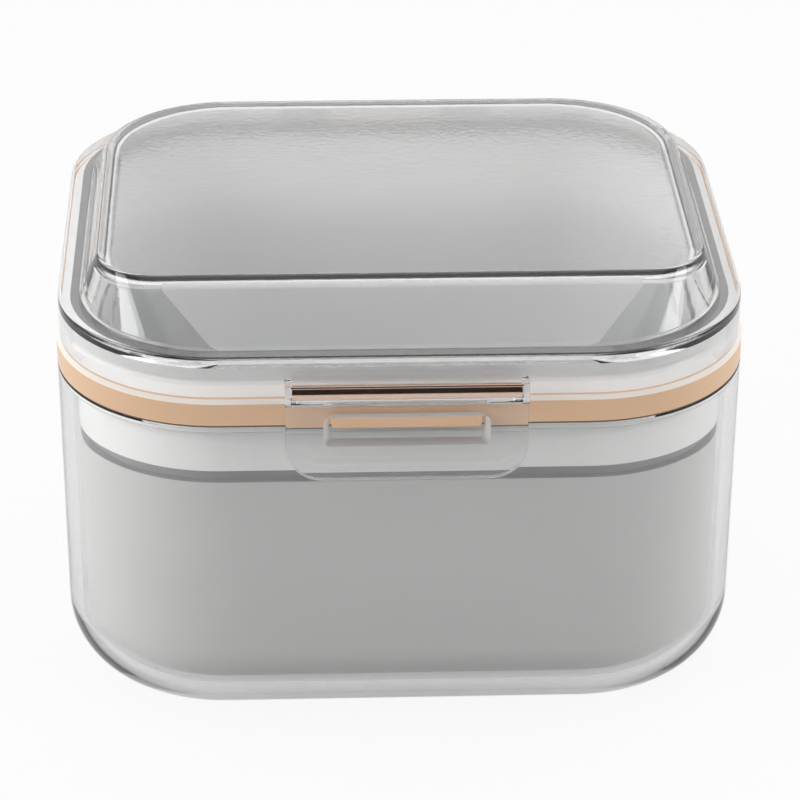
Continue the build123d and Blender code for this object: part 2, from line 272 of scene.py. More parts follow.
def add_piece(bm, name, body, materials, nodes):
    """Make a finished mesh into a piece that rides on a body and stands for its nodes."""
    bmesh.ops.remove_doubles(bm, verts=bm.verts, dist=0.002 * MM)
    bmesh.ops.recalc_face_normals(bm, faces=bm.faces)
    if any(not edge.is_manifold for edge in bm.edges):
        raise RuntimeError(f"{name} has an open edge")
    mesh = bpy.data.meshes.new(name)
    bm.to_mesh(mesh)
    bm.free()
    mesh.shade_smooth()
    mesh.set_sharp_from_angle(angle=SHARP_ANGLE)
    for material in materials:
        mesh.materials.append(material)
    piece = bpy.data.objects.new(name, mesh)
    bpy.context.scene.collection.objects.link(piece)
    flat = piece.modifiers.new("flat_faces", "WEIGHTED_NORMAL")
    flat.keep_sharp = True
    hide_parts(*nodes)
    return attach(piece, body)


def add_node(tree, kind, inputs=None, **settings):
    """Add a node, set its properties, and set or link its inputs."""
    node = tree.nodes.new(kind)
    for name, value in settings.items():
        setattr(node, name, value)
    for key, value in (inputs or {}).items():
        if isinstance(value, bpy.types.NodeSocket):
            tree.links.new(value, node.inputs[key])
        else:
            node.inputs[key].default_value = value
    return node


def new_material(name):
    """An empty node material, with the Object coordinates its patterns read."""
    material = bpy.data.materials.new(name)
    material.use_nodes = True
    material.node_tree.nodes.clear()
    place = add_node(material.node_tree, "ShaderNodeTexCoord").outputs["Object"]
    return material, material.node_tree, place


def per_mm(millimetres):
    """The texture scale at which one cell is this many millimetres."""
    return 1.0 / (millimetres * MM)


def darker(tint, share):
    """A share of a colour, with full alpha."""
    return [channel * share for channel in tint[:3]] + [1]


def let_light_through(tree, shader, share):
    """Let a share of the lamps' light through a clear piece, so that what is behind it isn't in the dark."""
    through = add_node(tree, "ShaderNodeBsdfTransparent", {"Color": (share, share, share, 1.0)})
    ray = add_node(tree, "ShaderNodeLightPath").outputs["Is Shadow Ray"]
    mixed = add_node(
        tree, "ShaderNodeMixShader", {"Fac": ray, 1: shader.outputs[0], 2: through.outputs[0]}
    )
    add_node(tree, "ShaderNodeOutputMaterial", {"Surface": mixed.outputs[0]})


def clear_styrene(tint):
    """Clear polystyrene, injection moulded in a polished tool: mirror-smooth, with a faint flow ripple."""
    material, tree, place = new_material("clear_polystyrene_polished")
    ripple = add_node(tree, "ShaderNodeTexNoise", {"Vector": place, "Scale": per_mm(14), "Detail": 1.0})
    bump = add_node(
        tree, "ShaderNodeBump", {"Height": ripple.outputs[0], "Strength": 0.03, "Distance": 0.4 * MM}
    )
    shader = add_node(
        tree, "ShaderNodeBsdfPrincipled",
        {
            "Base Color": tint, "Roughness": 0.015, "IOR": 1.57, "Transmission Weight": 1.0,
            "Normal": bump.outputs[0],
        },
    )
    let_light_through(tree, shader, 0.94)
    return material


def frosted_styrene(tint):
    """The lid's top: the same clear polystyrene from a blasted tool, so light scatters in its fine grit.

    Such grit is some 0.1 mm across, too fine to show here, so it is drawn at 0.9 mm.
    """
    material, tree, place = new_material("frosted_polystyrene")
    grit = add_node(tree, "ShaderNodeTexNoise", {"Vector": place, "Scale": per_mm(0.9), "Detail": 2.0})
    wave = add_node(tree, "ShaderNodeTexNoise", {"Vector": place, "Scale": per_mm(11), "Detail": 1.0})
    swell = add_node(
        tree, "ShaderNodeBump", {"Height": wave.outputs[0], "Strength": 0.1, "Distance": 0.6 * MM}
    )
    bump = add_node(
        tree, "ShaderNodeBump",
        {"Height": grit.outputs[0], "Strength": 0.4, "Distance": 0.08 * MM, "Normal": swell.outputs[0]},
    )
    shader = add_node(
        tree, "ShaderNodeBsdfPrincipled",
        {
            "Base Color": darker(tint, 0.88), "Roughness": 0.16, "IOR": 1.57, "Transmission Weight": 1.0,
            "Normal": bump.outputs[0],
        },
    )
    let_light_through(tree, shader, 0.95)
    return material


def inside_styrene(name, tint, clearness):
    """Clear polystyrene from a fine-blasted core, which blurs what lies behind it.

    A clearness below 1 leaves the rest of the light scattered, as a milky haze. The grit is drawn at
    0.5 mm, coarser than it is, so that it shows.
    """
    material, tree, place = new_material(name)
    grit = add_node(tree, "ShaderNodeTexNoise", {"Vector": place, "Scale": per_mm(0.5), "Detail": 2.0})
    rough = add_node(
        tree, "ShaderNodeMapRange", {"Value": grit.outputs[0], "To Min": 0.34, "To Max": 0.42}
    )
    shader = add_node(
        tree, "ShaderNodeBsdfPrincipled",
        {"Base Color": tint, "Roughness": rough.outputs[0], "IOR": 1.57, "Transmission Weight": clearness},
    )
    let_light_through(tree, shader, 0.95)
    return material


def satin_plastic(name, tint, shade, roughness, grain, painted_light_bands=()):
    """A pigmented moulding from a spark-eroded tool: satin, with a fine even grain.

    Such grain is some 0.1 mm across and is drawn coarser, so that it shows. Each band, from a low to a high
    level, has a colour of its own: painted light and shade, not another pigment.
    """
    fade, spread = 0.03 * MM, 0.06
    material, tree, place = new_material(name)
    cloud = add_node(tree, "ShaderNodeTexNoise", {"Vector": place, "Scale": per_mm(9), "Detail": 2.0})
    mixed = add_node(
        tree, "ShaderNodeMix", {"Factor": cloud.outputs[0], 6: tint, 7: darker(tint, shade)},
        data_type="RGBA",
    )
    for low, high, other in painted_light_bands:
        height = add_node(tree, "ShaderNodeSeparateXYZ", {0: place}).outputs["Z"]
        above = add_node(
            tree, "ShaderNodeMapRange", {"Value": height, "From Min": low - fade, "From Max": low}
        )
        below = add_node(
            tree, "ShaderNodeMapRange",
            {"Value": height, "From Min": high, "From Max": high + fade, "To Min": 1.0, "To Max": 0.0},
        )
        within = add_node(
            tree, "ShaderNodeMath", {0: above.outputs[0], 1: below.outputs[0]}, operation="MULTIPLY"
        )
        mixed = add_node(
            tree, "ShaderNodeMix", {"Factor": within.outputs[0], 6: mixed.outputs[2], 7: other},
            data_type="RGBA",
        )
    pits = add_node(tree, "ShaderNodeTexNoise", {"Vector": place, "Scale": per_mm(grain), "Detail": 2.0})
    rough = add_node(
        tree, "ShaderNodeMapRange",
        {"Value": pits.outputs[0], "To Min": roughness - spread, "To Max": roughness + spread},
    )
    bump = add_node(
        tree, "ShaderNodeBump", {"Height": pits.outputs[0], "Strength": 0.25, "Distance": 0.03 * MM}
    )
    shader = add_node(
        tree, "ShaderNodeBsdfPrincipled",
        {"Base Color": mixed.outputs[2], "Roughness": rough.outputs[0], "Normal": bump.outputs[0]},
    )
    add_node(tree, "ShaderNodeOutputMaterial", {"Surface": shader.outputs[0]})
    return material


def rose_plate(tint):
    """Rose gold plate on the latch's bar, over polished plastic: a mirror with a warm, pale tint."""
    material, tree, place = new_material("rose_gold_plate_polished")
    haze = add_node(tree, "ShaderNodeTexNoise", {"Vector": place, "Scale": per_mm(1.5), "Detail": 2.0})
    rough = add_node(
        tree, "ShaderNodeMapRange", {"Value": haze.outputs[0], "To Min": 0.06, "To Max": 0.14}
    )
    shader = add_node(
        tree, "ShaderNodeBsdfPrincipled",
        {"Base Color": tint, "Metallic": 1.0, "Roughness": rough.outputs[0]},
    )
    add_node(tree, "ShaderNodeOutputMaterial", {"Surface": shader.outputs[0]})
    return material


def drawn_steel(tint):
    """Stainless steel wire, drawn through a die: fine lines along its length, which runs across the case.

    They are drawn 0.15 mm apart, coarser than they are, so that they show.
    """
    material, tree, place = new_material("drawn_stainless_steel")
    along = add_node(tree, "ShaderNodeMapping", {"Vector": place, "Scale": (0.02, 1.0, 1.0)})
    lines = add_node(
        tree, "ShaderNodeTexNoise", {"Vector": along.outputs[0], "Scale": per_mm(0.15), "Detail": 2.0}
    )
    rough = add_node(
        tree, "ShaderNodeMapRange", {"Value": lines.outputs[0], "To Min": 0.2, "To Max": 0.38}
    )
    shader = add_node(
        tree, "ShaderNodeBsdfPrincipled",
        {"Base Color": tint, "Metallic": 1.0, "Roughness": rough.outputs[0]},
    )
    add_node(tree, "ShaderNodeOutputMaterial", {"Surface": shader.outputs[0]})
    return material


def inset_outline(sizes, inset, level):
    """The case's outline, drawn in by an inset, at a level."""
    radius = sizes.corner_radius - inset
    return sizes.case_width / 2 - inset, sizes.case_depth / 2 - inset, radius, radius, level


def draft_at(sizes, level):
    """How far the case's wall has drawn in at a level below the ring."""
    return sizes.wall_draft * (1 - level / SHELL_HIGH.z)


class RETAINER_CASE_OT_outer_shell(bpy.types.Operator):
    """Add the clear outer shell"""

    bl_idname = "retainer_case.outer_shell"
    bl_label = "Outer shell"

    def execute(self, context):
        sizes = context.scene.retainer_case_sizes
        top = SHELL_HIGH.z
        seam, rebate, step = 0.2 * MM, 0.9 * MM, 1.0 * MM
        bm = bmesh.new()
        profile = [
            (draft_at(sizes, 0), 0),
            (0, top - seam),
            (seam, top),
            (rebate, top),
            (rebate, top - step),
            (sizes.shell_wall, top - step),
            (sizes.shell_wall + draft_at(sizes, sizes.shell_floor), sizes.shell_floor),
        ]
        loops = stack(bm, [inset_outline(sizes, inset, level) for inset, level in profile])
        round_edges(bm, loops[0], sizes.bottom_round, 16)
        round_edges(bm, loops[-1], sizes.bottom_round - sizes.shell_wall, 14)
        flatten_caps(bm)
        material = clear_styrene(context.scene.retainer_case_colours.clear)
        add_piece(bm, "outer_shell_dressed", "case", [material], ["outer_shell"])
        return {"FINISHED"}


class RETAINER_CASE_OT_inner_tub(bpy.types.Operator):
    """Add the grey inner tub"""

    bl_idname = "retainer_case.inner_tub"
    bl_label = "Inner tub"

    def execute(self, context):
        sizes = context.scene.retainer_case_sizes
        top = SHELL_HIGH.z
        ledge = top - sizes.tub_ledge_drop
        outside = sizes.shell_wall + sizes.tub_gap
        inside = outside + sizes.tub_wall
        floor = TUB_LOW.z + 2.0 * MM
        flange, flange_height = 0.95 * MM, 1.0 * MM
        lip, lip_wall = 2.6 * MM, 1.2 * MM
        groove_top, groove_height, groove_depth = ledge - 0.3 * MM, 1.7 * MM, 1.1 * MM
        groove_bottom = groove_top - groove_height
        groove = outside + draft_at(sizes, groove_top) + groove_depth
        bm = bmesh.new()
        profile = [
            (outside + draft_at(sizes, TUB_LOW.z), TUB_LOW.z),
            (outside + draft_at(sizes, groove_bottom), groove_bottom),
            (groove, groove_bottom),
            (groove, groove_top),
            (outside + draft_at(sizes, groove_top), groove_top),
            (outside, top - flange_height),
            (flange, top - flange_height),
            (flange, top),
            (lip, top),
            (lip, TUB_HIGH.z),
            (lip + lip_wall, TUB_HIGH.z),
            (lip + lip_wall, ledge),
            (inside + draft_at(sizes, ledge), ledge),
            (inside + draft_at(sizes, floor), floor),
        ]
        loops = stack(bm, [inset_outline(sizes, inset, level) for inset, level in profile])
        round_edges(bm, loops[0], sizes.bottom_round - outside, 14)
        round_edges(bm, loops[-1], sizes.bottom_round - inside, 12)
        lip_edges, groove_edges, ledge_edge = loops[9] + loops[10], loops[1] + loops[4], loops[12]
        round_edges(bm, lip_edges, 0.4 * MM, 3)
        round_edges(bm, groove_edges + ledge_edge, 0.15 * MM, 2)
        flatten_caps(bm)
        tint = context.scene.retainer_case_colours.tub
        # Painted shade darkens the groove, and painted light makes the collar over it paler.
        painted_light_bands = [
            (groove_bottom, groove_top, linear("#9C9C9B")),
            (groove_top + 0.1 * MM, TUB_HIGH.z + 1 * MM, linear("#F4F4F3")),
        ]
        material = satin_plastic("grey_abs_satin", tint, 0.96, 0.38, 0.6, painted_light_bands)
        add_piece(bm, "inner_tub_dressed", "case", [material], ["inner_tub"])
        return {"FINISHED"}


class RETAINER_CASE_OT_rim_ring(bpy.types.Operator):
    """Add the beige ring with its catch rib and its rear knuckle"""

    bl_idname = "retainer_case.rim_ring"
    bl_label = "Ring"

    def execute(self, context):
        sizes = context.scene.retainer_case_sizes
        half_depth = sizes.case_depth / 2
        bottom = SHELL_HIGH.z
        top = bottom + sizes.ring_height
        bevel, seam, inside = 0.5 * MM, 0.2 * MM, 2.55 * MM
        bm = bmesh.new()
        profile = [
            (seam, bottom),
            (0, bottom + seam),
            (0, top - bevel),
            (bevel, top),
            (inside, top),
            (inside, bottom),
        ]
        stack(bm, [inset_outline(sizes, inset, level) for inset, level in profile], closed=True)
        root = half_depth - bevel
        rib_half, rib_low, rib_high = 10.0 * MM, 48.0 * MM, 49.9 * MM
        rib_corner, rib_round = 0.5 * MM, 0.25 * MM
        rib = bmesh.new()
        corners = rectangle(-rib_half, rib_half, rib_low, rib_high)
        face = add_slab(
            rib, [((x, -root, z), rib_corner) for x, z in corners], Vector((0, RING_LOW.y + root, 0))
        )
        round_edges(rib, face.edges[:], rib_round, 3)
        combine(bm, rib, "UNION")
        pivot = PIVOTS["lid_hinge"]
        half_length, radius = 8.45 * MM, RING_HIGH.y - pivot.y
        relief = 0.3 * MM
        neck_low, neck_high = bottom + relief, top - relief
        across = Vector((2 * half_length, 0, 0))
        knuckle = bmesh.new()
        add_rod(knuckle, radius, pivot - across / 2, pivot + across / 2)
        neck = bmesh.new()
        ends = rectangle(root, pivot.y, neck_low, neck_high)
        add_slab(neck, [((-half_length, y, z), 0) for y, z in ends], across)
        combine(knuckle, neck, "UNION")
        bore = bmesh.new()
        add_rod(bore, PIN_BORE_RADIUS, pivot - across, pivot + across)
        combine(knuckle, bore, "DIFFERENCE")
        combine(bm, knuckle, "UNION")
        tint = context.scene.retainer_case_colours.ring
        # A painted shadow line at the joint with the shell, and a painted highlight on the slanted top edge.
        painted_light_bands = [
            (0.0, bottom + 0.3 * MM, linear("#6B5240")),
            (top - 0.6 * MM, top - 0.04 * MM, linear("#FAF2EA")),
        ]
        material = satin_plastic("beige_abs_satin", tint, 0.95, 0.3, 0.5, painted_light_bands)
        add_piece(bm, "rim_ring_dressed", "case", [material], ["rim_ring"])
        return {"FINISHED"}


def lid_levels(sizes):
    """The levels of the skirt's lower edge and of the rim."""
    skirt_bottom = SHELL_HIGH.z + sizes.ring_height + sizes.lid_gap
    return skirt_bottom, skirt_bottom + sizes.skirt_height


def skirt_root(sizes):
    """How far from the case's middle the block and the bar's web start, sunk a little into the skirt."""
    return sizes.case_depth / 2 - SKIRT_INSET - 0.2 * MM


def make_dome(sizes):
    """The hollow lid: a flat top, slopes down to a flat rim, and an upright skirt."""
    half_width, half_depth = sizes.case_width / 2, sizes.case_depth / 2
    skirt_wall, chamfer = 1.7 * MM, 1.3 * MM
    skirt_bottom, rim = lid_levels(sizes)
    top = LID_HIGH.z
    rise = top - rim
    foot = SKIRT_INSET + sizes.rim_width
    foot_x, foot_y, foot_radius = half_width - foot, half_depth - foot, sizes.corner_radius - foot
    front_radius, rear_radius = 8.6 * MM, 17.6 * MM
    side_shift = sizes.lid_wall * (hypot(sizes.side_run, rise) - sizes.side_run) / rise
    front_shift = sizes.lid_wall * (hypot(sizes.front_run, rise) - sizes.front_run) / rise
    top_margin = 0.4 * MM
    dome_top = foot_x - sizes.side_run + top_margin, foot_y - sizes.front_run
    bm = bmesh.new()
    outlines = [
        (*dome_top, front_radius, rear_radius, top),
        inset_outline(sizes, foot, rim),
        inset_outline(sizes, SKIRT_INSET, rim),
        inset_outline(sizes, SKIRT_INSET, skirt_bottom),
        inset_outline(sizes, SKIRT_INSET + skirt_wall - chamfer, skirt_bottom),
        inset_outline(sizes, SKIRT_INSET + skirt_wall, skirt_bottom + chamfer),
        inset_outline(sizes, SKIRT_INSET + skirt_wall, rim - sizes.lid_wall),
        (
            foot_x - side_shift, foot_y - front_shift, foot_radius - side_shift, foot_radius - side_shift,
            rim - sizes.lid_wall,
        ),
        (
            dome_top[0] - side_shift, dome_top[1] - front_shift, front_radius - front_shift,
            rear_radius - front_shift, top - sizes.lid_wall,
        ),
    ]
    loops = stack(bm, outlines)
    top_edge, slope_foot, rim_edge, skirt_edge, inside_top = *loops[:4], loops[-1]
    round_edges(bm, top_edge, 0.35 * MM, 5)
    round_edges(bm, slope_foot, 0.25 * MM, 3)
    round_edges(bm, rim_edge, 0.5 * MM, 6)
    round_edges(bm, skirt_edge, 0.15 * MM, 2)
    round_edges(bm, inside_top, 1.0 * MM, 6)
    return bm


def make_hinge_block(sizes):
    """The block behind the lid, with a gap for the ring's knuckle and a bore for the pin."""
    rim = lid_levels(sizes)[1]
    pivot = PIVOTS["lid_hinge"]
    back = LID_HIGH.y
    radius = back - pivot.y
    root = skirt_root(sizes)
    knuckle_front, block_bottom, block_top = pivot.y - radius, 52.1 * MM, rim - 0.3 * MM
    block_half, gap_half, gap_top = 16.35 * MM, 8.75 * MM, pivot.z + radius + 1.0 * MM
    side = [
        ((root, block_bottom), 0),
        ((knuckle_front, block_bottom), 0),
        ((knuckle_front, pivot.z - radius), radius),
        ((back, pivot.z - radius), radius * 0.999),
        ((back, block_top), 1.6 * MM),
        ((root, block_top), 0),
    ]
    block = bmesh.new()
    add_slab(block, [((-block_half, y, z), r) for (y, z), r in side], Vector((2 * block_half, 0, 0)))
    gap = bmesh.new()
    low, near, far = pivot.z - 2 * radius, root - radius, back + radius
    ends = rectangle(near, far, low, gap_top)
    add_slab(gap, [((-gap_half, y, z), 0) for y, z in ends], Vector((2 * gap_half, 0, 0)))
    combine(block, gap, "DIFFERENCE")
    bore = bmesh.new()
    reach = Vector((sizes.case_width / 2, 0, 0))
    add_rod(bore, PIN_BORE_RADIUS, pivot - reach, pivot + reach)
    combine(block, bore, "DIFFERENCE")
    return block


def make_latch_bar(sizes):
    """The bar that the latch turns on, carried by a thin web on the skirt."""
    bar = PIVOTS["latch_hinge"]
    reach = Vector((15.2 * MM, 0, 0))
    rod, web = bmesh.new(), bmesh.new()
    add_rod(rod, BAR_RADIUS, bar - reach, bar + reach, 64)
    ends = rectangle(bar.y, -skirt_root(sizes), bar.z - BAR_HALF_WEB, bar.z + BAR_HALF_WEB)
    add_slab(web, [((-reach.x, y, z), 0) for y, z in ends], 2 * reach)
    combine(rod, web, "UNION")
    return rod


def finish_lid_faces(bm, sizes):
    """Choose the finish of the lid's top, its bar, its inner wall and its inner front slope."""
    rim = lid_levels(sizes)[1]
    bar = PIVOTS["latch_hinge"]
    slack = 0.1 * MM
    ceiling, rim_ceiling = LID_HIGH.z - sizes.lid_wall, rim - sizes.lid_wall
    skirt_face = sizes.case_depth / 2 - SKIRT_INSET
    for face in bm.faces:
        centre, normal = face.calc_center_median(), face.normal
        if centre.z > LID_HIGH.z - 0.01 * MM and normal.z > 0.99:
            face.material_index = FROSTED
        towards_middle = normal.x * centre.x + normal.y * centre.y < 0 and normal.z < 0.5
        inward = (towards_middle or normal.z < -0.5) and abs(centre.y) < skirt_face - slack
        front_slope = abs(normal.x) < 0.02 and centre.y < 0 and rim < centre.z < ceiling - slack
        if inward and centre.z < rim_ceiling + slack and normal.z > -0.9:
            face.material_index = HAZY
        elif inward and front_slope:
            face.material_index = SATIN
        if all(hypot(vert.co.y - bar.y, vert.co.z - bar.z) < 1.01 * BAR_RADIUS for vert in face.verts):
            face.material_index = PLATED


class RETAINER_CASE_OT_lid(bpy.types.Operator):
    """Add the clear lid with its sloping front, frosted top, hinge block and latch bar"""

    bl_idname = "retainer_case.lid"
    bl_label = "Lid"

    def execute(self, context):
        sizes = context.scene.retainer_case_sizes
        bm = make_dome(sizes)
        combine(bm, make_hinge_block(sizes), "UNION")
        combine(bm, make_latch_bar(sizes), "UNION")
        flatten_caps(bm)
        finish_lid_faces(bm, sizes)
        colours = context.scene.retainer_case_colours
        materials = [
            clear_styrene(colours.clear),
            frosted_styrene(colours.clear),
            rose_plate(colours.plate),
            inside_styrene("satin_polystyrene", colours.clear, 0.85),
            inside_styrene("hazy_polystyrene", colours.clear, 0.4),
        ]
        add_piece(bm, "lid_dressed", "lid", materials, ["lid_shell"])
        return {"FINISHED"}


class RETAINER_CASE_OT_seal(bpy.types.Operator):
    """Add the silicone seal under the lid's rim"""

    bl_idname = "retainer_case.seal"
    bl_label = "Seal"

    def execute(self, context):
        sizes = context.scene.retainer_case_sizes
        outside, inside = 2.15 * MM, 3.95 * MM
        bm = bmesh.new()
        # The seal stops just short of the lid, so that no two faces lie in one plane.
        high = SEAL_HIGH.z - 0.03 * MM
        profile = [(outside, SEAL_LOW.z), (outside, high), (inside, high), (inside, SEAL_LOW.z)]
        loops = stack(bm, [inset_outline(sizes, inset, level) for inset, level in profile], closed=True)
        round_edges(bm, loops[0] + loops[3], 0.5 * MM, 4)
        tint = context.scene.retainer_case_colours.seal
        # Its grey is darkened as painted shade of the gap under the lid's rim.
        material = satin_plastic("silicone_rubber_painted_shade", tint, 0.97, 0.55, 1.2)
        add_piece(bm, "lid_seal_dressed", "lid", [material], ["lid_seal"])
        return {"FINISHED"}


def make_hook_mouth(bore, outside, inner):
    """What the hook leaves free: a bore round the bar, open where the bar's web passes as the flap swings."""
    bar = PIVOTS["latch_hinge"]
    swing, web_gap = radians(100), 0.12 * MM
    margin = asin((BAR_HALF_WEB + web_gap) / bore)

    def polar(reach, angle):
        return bar - inner + Vector((0, reach * cos(angle), reach * sin(angle)))

    mouth = bmesh.new()
    start = mouth.verts.new(polar(bore, swing + margin))
    bmesh.ops.spin(
        mouth, geom=[start], cent=bar, axis=(1, 0, 0), angle=2 * pi - swing - 2 * margin, steps=36,
        use_duplicate=False,
    )
    loose = [v for v in mouth.verts if len(v.link_edges) == 1]
    first, last = sorted(loose, key=lambda v: v.co.z, reverse=True)
    chain = [mouth.verts.new(polar(outside, a)) for a in (swing + margin, swing / 2, -margin)]
    for one, two in zip([first] + chain, chain + [last]):
        mouth.edges.new((one, two))
    face = bmesh.ops.contextual_create(mouth, geom=mouth.edges[:])["faces"]
    grown = bmesh.ops.extrude_face_region(mouth, geom=face)["geom"]
    bmesh.ops.translate(mouth, vec=2 * inner, verts=verts_of(grown))
    return mouth


class RETAINER_CASE_OT_latch(bpy.types.Operator):
    """Add the clear flap latch that hooks on the lid's bar"""

    bl_idname = "retainer_case.latch"
    bl_label = "Latch"

    def execute(self, context):
        sizes = context.scene.retainer_case_sizes
        bar = PIVOTS["latch_hinge"]
        half_width, corner = LATCH_HIGH.x, sizes.latch_corner
        radius, bore = bar.y - LATCH_LOW.y, 1.08 * MM
        front = bar.y - BAR_RADIUS
        back = front + sizes.latch_thickness
        bottom, flap_top = LATCH_LOW.z, bar.z - BAR_RADIUS
        bm = bmesh.new()
        face = add_slab(
            bm,
            [
                ((-half_width, back, flap_top), 0), ((-half_width, back, bottom), corner),
                ((half_width, back, bottom), corner), ((half_width, back, flap_top), 0),
            ],
            Vector((0, front - back, 0)),
        )
        border = [e for e in face.edges if min(v.co.z for v in e.verts) < flap_top - 0.1 * MM]
        round_edges(bm, border, 0.4 * MM, 4)
        across = Vector((half_width, 0, 0))
        roll = bmesh.new()
        add_rod(roll, radius, bar - across, bar + across, 64)
        cut = bmesh.ops.bisect_plane(
            roll, geom=roll.verts[:] + roll.edges[:] + roll.faces[:],
            plane_co=(0, 0, LATCH_HIGH.z), plane_no=(0, 0, 1), clear_outer=True,
        )["geom_cut"]
        bmesh.ops.contextual_create(roll, geom=[e for e in cut if isinstance(e, bmesh.types.BMEdge)])
        combine(bm, roll, "UNION")
        end_wall = 0.8 * MM
        combine(bm, make_hook_mouth(bore, 3 * radius, Vector((half_width - end_wall, 0, 0))), "DIFFERENCE")
        slot_half, slot_top, slot_bottom = 10.3 * MM, 50.3 * MM, 46.2 * MM
        slot_corner, over, flare_across, flare_down = 0.8 * MM, 0.05 * MM, 1.08, 1.05
        slot = bmesh.new()
        ends = rectangle(-slot_half, slot_half, slot_bottom, slot_top)
        depth = Vector((0, front - back - 2 * over, 0))
        face = add_slab(slot, [((x, back + over, z), slot_corner) for x, z in ends], depth)
        # The slot flares towards the front, about its upper edge.
        bmesh.ops.scale(
            slot, vec=(flare_across, 1, flare_down), verts=face.verts,
            space=Matrix.Translation((0, 0, -slot_top)),
        )
        combine(bm, slot, "DIFFERENCE")
        bmesh.ops.recalc_face_normals(bm, faces=bm.faces)
        for face in bm.faces:
            centre = face.calc_center_median()
            level = slot_bottom - 0.3 * MM < centre.z < slot_top + 0.01 * MM
            if level and abs(centre.x) < slot_half * flare_across + over and abs(face.normal.y) < 0.7:
                face.material_index = SHADED
        clear = context.scene.retainer_case_colours.clear
        # The slot's cut faces are greyer and milkier than clear plastic is, so that its outline shows: the
        # grey is painted shade.
        materials = [clear_styrene(clear), inside_styrene("shaded_polystyrene", darker(clear, 0.75), 0.3)]
        add_piece(bm, "front_latch_dressed", "latch", materials, ["front_latch"])
        return {"FINISHED"}


class RETAINER_CASE_OT_basket(bpy.types.Operator):
    """Add the drain basket that hangs in the tub"""

    bl_idname = "retainer_case.basket"
    bl_label = "Drain basket"

    def execute(self, context):
        sizes = context.scene.retainer_case_sizes
        bottom = BASKET_LOW.z
        wall, floor, gap, foot_round = 1.2 * MM, 1.2 * MM, 0.8 * MM, 5.5 * MM
        outside = sizes.shell_wall + sizes.tub_gap + sizes.tub_wall + gap
        inside = outside + wall
        flange, flange_low = 4.15 * MM, SHELL_HIGH.z - sizes.tub_ledge_drop + 0.3 * MM
        flange_high = flange_low + 1.2 * MM
        bm = bmesh.new()
        profile = [
            (outside + draft_at(sizes, bottom), bottom),
            (outside + draft_at(sizes, flange_low), flange_low),
            (flange, flange_low),
            (flange, flange_high),
            (inside + draft_at(sizes, flange_high), flange_high),
            (inside + draft_at(sizes, bottom + floor), bottom + floor),
        ]
        loops = stack(bm, [inset_outline(sizes, inset, level) for inset, level in profile])
        round_edges(bm, loops[0], foot_round, 8)
        round_edges(bm, loops[-1], foot_round - wall, 8)
        round_edges(bm, loops[3], 0.3 * MM, 2)
        holes = bmesh.new()
        pitch = sizes.drain_pitch
        last_column, last_row, last_slot = 4, 3, 2
        for column in range(-last_column, last_column + 1):
            for row in range(-last_row, last_row + 1):
                place = Vector((column * pitch, row * pitch, bottom - floor))
                add_rod(holes, sizes.drain_hole / 2, place, place + Vector((0, 0, 3 * floor)), 16)
        combine(bm, holes, "DIFFERENCE")
        low, high, half = 19.9 * MM, 24.9 * MM, 0.9 * MM
        slots = bmesh.new()
        left = -sizes.case_width / 2
        for row in range(-last_slot, last_slot + 1):
            near, far = row * pitch - half, row * pitch + half
            ends = rectangle(near, far, low, high)
            add_slab(slots, [((left, y, z), half * 0.98) for y, z in ends], Vector((-2 * left, 0, 0)))
        combine(bm, slots, "DIFFERENCE")
        tab_half, tab_foot, tab_top = 9.0 * MM, (flange_low + flange_high) / 2, BASKET_HIGH.z
        tab_corner, tab_out = 4.0 * MM, 1.6 * MM
        grip_middle, grip_corner = (flange_high + tab_top) / 2, 1.28 * MM
        grip = rectangle(-5 * MM, 5 * MM, grip_middle - 1.3 * MM, grip_middle + 1.3 * MM)
        for side in (-1, 1):
            tab, hole = bmesh.new(), bmesh.new()
            start = side * (sizes.case_width / 2 - inside)
            ends = zip(rectangle(-tab_half, tab_half, tab_foot, tab_top), (0, 0, tab_corner, tab_corner))
            add_slab(tab, [((start, y, z), r) for (y, z), r in ends], Vector((side * tab_out, 0, 0)))
            corners = [((start - side * tab_out, y, z), grip_corner) for y, z in grip]
            add_slab(hole, corners, Vector((3 * side * tab_out, 0, 0)))
            combine(tab, hole, "DIFFERENCE")
            combine(bm, tab, "UNION")
        tint = context.scene.retainer_case_colours.basket
        material = satin_plastic("grey_polypropylene_satin", tint, 0.97, 0.42, 0.6)
        add_piece(bm, "drain_basket_dressed", "basket", [material], ["drain_basket"])
        return {"FINISHED"}


class RETAINER_CASE_OT_hinge_pin(bpy.types.Operator):
    """Give the steel hinge pin its finish"""

    bl_idname = "retainer_case.hinge_pin"
    bl_label = "Hinge pin"

    def execute(self, context):
        pin = frame["nodes"]["hinge_pin"]
        material = drawn_steel(context.scene.retainer_case_colours.steel)
        pin.data.materials.clear()
        pin.data.materials.append(material)
        return {"FINISHED"}


